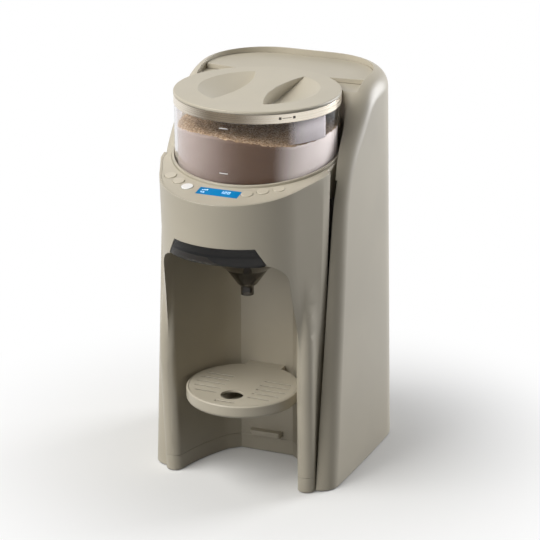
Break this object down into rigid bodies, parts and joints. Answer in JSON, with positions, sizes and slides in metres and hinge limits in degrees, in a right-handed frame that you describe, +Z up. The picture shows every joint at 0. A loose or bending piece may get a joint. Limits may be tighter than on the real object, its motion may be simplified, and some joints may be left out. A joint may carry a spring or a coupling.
{
  "type": "baby formula maker",
  "caption": "Counter-top baby formula maker: a clear powder hopper with a geared metering wheel, a rear water tank, a slide-out mixing funnel, a control panel and a hook-in drip tray.",
  "frame": {"origin": "on the counter, under the middle of the machine's box", "axes": "+Z up, -Y towards the person who uses it, +X to that person's right"},
  "size_m": [0.1928, 0.2688, 0.3776],
  "materials": {
    "shell_plastic": "satin",
    "housing_plastic": "satin",
    "panel_plastic": "satin",
    "lid_plastic": "satin",
    "band_metal": "brushed",
    "smoke_clear": "clear",
    "display_glass": "gloss",
    "button_plastic": "satin",
    "button_white": "gloss",
    "funnel_clear": "clear",
    "tray_plastic": "satin",
    "tank_clear": "clear",
    "inner_plastic": "matte",
    "drive_plastic": "matte",
    "motor_metal": "plated",
    "steel": "plated",
    "circuit_board": "matte",
    "soft_rubber": "matte",
    "seal_rubber": "matte",
    "hose_rubber": "matte",
    "pump_plastic": "matte",
    "heater_metal": "cast"
  },
  "bodies": {
    "machine": {"outer_shell": "shell_plastic", "front_housing": "housing_plastic", "base_frame": "housing_plastic", "rubber_feet": "soft_rubber", "base_screws": "steel", "inner_frame": "inner_plastic", "control_panel": "panel_plastic", "display_window": "display_glass", "display_module": "pump_plastic", "control_board": "circuit_board", "button_switches": "pump_plastic", "hopper_seat": "housing_plastic", "shaft_bearing": "drive_plastic", "powder_chute": "drive_plastic", "gear_motor": "motor_metal", "motor_bracket": "steel", "main_board": "circuit_board", "funnel_rails": "inner_plastic", "funnel_sensor": "pump_plastic", "tank_well": "inner_plastic", "tank_inlet_seal": "seal_rubber", "water_pump": "pump_plastic", "water_heater": "heater_metal", "supply_hose": "hose_rubber", "heater_hose": "hose_rubber", "nozzle_hose": "hose_rubber", "water_nozzle": "drive_plastic", "cord_gland": "soft_rubber"},
    "container": {"powder_container": "smoke_clear", "lid_band": "band_metal", "scraper": "drive_plastic"},
    "gasket": {"lid_gasket": "seal_rubber"},
    "lid": {"hopper_lid": "lid_plastic"},
    "wheel": {"powder_wheel": "drive_plastic"},
    "gear": {"drive_gear": "drive_plastic"},
    "pinion": {"motor_pinion": "drive_plastic"},
    "funnel_drawer": {"funnel": "funnel_clear", "funnel_cover": "funnel_clear"},
    "tray": {"drip_tray": "tray_plastic"},
    "grille": {"drip_grille": "tray_plastic"},
    "tank": {"water_tank": "tank_clear", "tank_valve": "drive_plastic", "valve_spring": "steel"},
    "plunger": {"valve_plunger": "drive_plastic"},
    "float": {"level_float": "drive_plastic"},
    "deck_lid": {"tank_lid": "shell_plastic"},
    "left_button_1": {"left_button_1": "button_white"},
    "left_button_2": {"left_button_2": "button_plastic"},
    "left_button_3": {"left_button_3": "button_plastic"},
    "right_button_1": {"right_button_1": "button_plastic"},
    "right_button_2": {"right_button_2": "button_plastic"},
    "right_button_3": {"right_button_3": "button_plastic"}
  },
  "joints": [
    {"name": "container_lift", "type": "slide", "parent": "machine", "child": "container", "axis": [0, 0, 1], "range_m": [0, 0.12]},
    {"name": "lid_lift", "type": "slide", "parent": "container", "child": "gasket", "axis": [0, 0, 1], "range_m": [0, 0.06]},
    {"name": "lid_turn", "type": "hinge", "parent": "gasket", "child": "lid", "pos_m": [0, -0.0186, 0.37], "axis": [0, 0, 1], "range_deg": [0, 25]},
    {"name": "wheel_spin", "type": "hinge", "parent": "container", "child": "wheel", "pos_m": [0, -0.0186, 0.29], "axis": [0, 0, 1], "continuous": true},
    {"name": "drive_gear_spin", "type": "hinge", "parent": "machine", "child": "gear", "pos_m": [0, -0.0186, 0.275], "axis": [0, 0, 1], "continuous": true},
    {"name": "pinion_spin", "type": "hinge", "parent": "machine", "child": "pinion", "pos_m": [0, 0.0234, 0.275], "axis": [0, 0, 1], "continuous": true},
    {"name": "funnel_slide", "type": "slide", "parent": "machine", "child": "funnel_drawer", "axis": [0, -1, 0], "range_m": [0, 0.12]},
    {"name": "tray_pull", "type": "slide", "parent": "machine", "child": "tray", "axis": [0, -1, 0], "range_m": [0, 0.12]},
    {"name": "grille_lift", "type": "slide", "parent": "tray", "child": "grille", "axis": [0, 0, 1], "range_m": [0, 0.03]},
    {"name": "tank_lift", "type": "slide", "parent": "machine", "child": "tank", "axis": [0, 0, 1], "range_m": [0, 0.25]},
    {"name": "plunger_travel", "type": "slide", "parent": "tank", "child": "plunger", "axis": [0, 0, 1], "range_m": [0, 0.0025], "stiffness_N_per_m": 60, "deforming": ["valve_spring"]},
    {"name": "float_rise", "type": "slide", "parent": "tank", "child": "float", "axis": [0, 0, 1], "range_m": [0, 0.015]},
    {"name": "deck_lid_lift", "type": "slide", "parent": "tank", "child": "deck_lid", "axis": [0, 0, 1], "range_m": [0, 0.06]},
    {"name": "left_button_1_press", "type": "slide", "parent": "machine", "child": "left_button_1", "axis": [0, 0.159, -0.9873], "range_m": [0, 0.0008], "stiffness_N_per_m": 800},
    {"name": "left_button_2_press", "type": "slide", "parent": "machine", "child": "left_button_2", "axis": [0, 0.159, -0.9873], "range_m": [0, 0.0008], "stiffness_N_per_m": 800},
    {"name": "left_button_3_press", "type": "slide", "parent": "machine", "child": "left_button_3", "axis": [0, 0.159, -0.9873], "range_m": [0, 0.0008], "stiffness_N_per_m": 800},
    {"name": "right_button_1_press", "type": "slide", "parent": "machine", "child": "right_button_1", "axis": [0, 0.159, -0.9873], "range_m": [0, 0.0008], "stiffness_N_per_m": 800},
    {"name": "right_button_2_press", "type": "slide", "parent": "machine", "child": "right_button_2", "axis": [0, 0.159, -0.9873], "range_m": [0, 0.0008], "stiffness_N_per_m": 800},
    {"name": "right_button_3_press", "type": "slide", "parent": "machine", "child": "right_button_3", "axis": [0, 0.159, -0.9873], "range_m": [0, 0.0008], "stiffness_N_per_m": 800}
  ],
  "couplings": [
    {"joint": "wheel_spin", "follows": "drive_gear_spin", "ratio": 1},
    {"joint": "pinion_spin", "follows": "drive_gear_spin", "ratio": -6}
  ]
}
